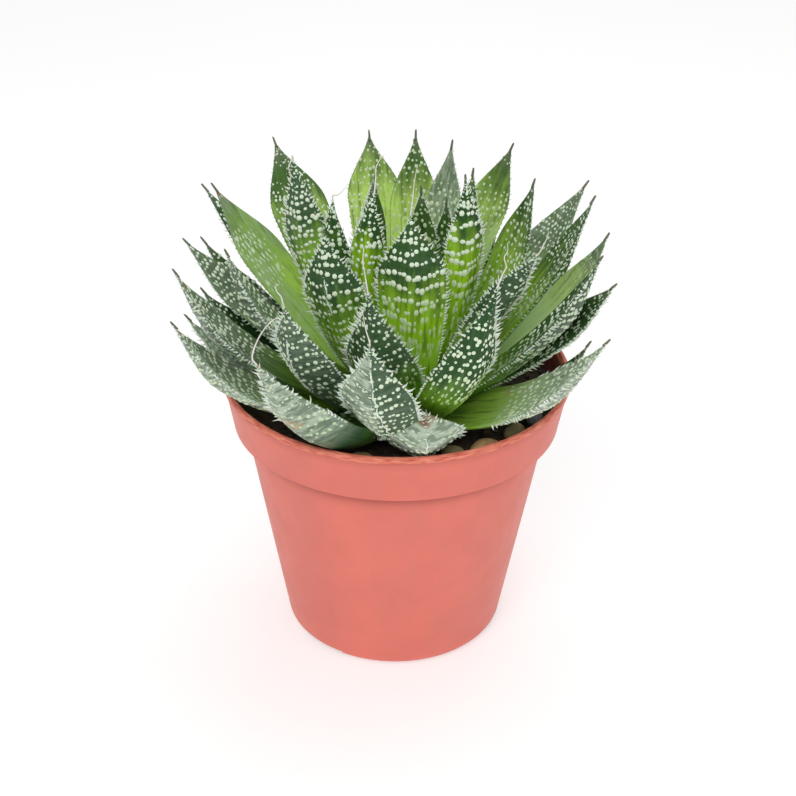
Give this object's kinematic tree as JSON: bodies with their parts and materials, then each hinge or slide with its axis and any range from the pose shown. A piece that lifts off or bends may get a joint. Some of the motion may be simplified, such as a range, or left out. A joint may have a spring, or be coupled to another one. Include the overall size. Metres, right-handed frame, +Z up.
{
  "type": "potted lace aloe",
  "caption": "Lace aloe: a dense rosette of white-dotted, toothed, thread-tipped leaves in a small tapered terracotta plastic nursery pot.",
  "frame": {"origin": "centre of the pot's flat underside, on the pot's turning axis, on the surface that the pot stands on", "axes": "+Z up along the pot's axis; -Y is the side that faces the camera in the picture; +X is to the viewer's right"},
  "size_m": [0.1227, 0.1105, 0.151],
  "materials": {
    "pot_plastic": "moulded terracotta-coloured plastic, semi-matte",
    "potting_soil": "dark, crumbly and rough",
    "leaf_flesh": "waxy satin with white dots, teeth and threads",
    "pebble_tan": "dull tan stone",
    "pebble_grey": "dull grey stone"
  },
  "bodies": {
    "root": {"pot": "pot_plastic", "soil": "potting_soil", "rosette": "leaf_flesh", "pebble_1": "pebble_tan", "pebble_2": "pebble_tan", "pebble_3": "pebble_tan", "pebble_4": "pebble_tan", "pebble_5": "pebble_grey"}
  },
  "joints": []
}
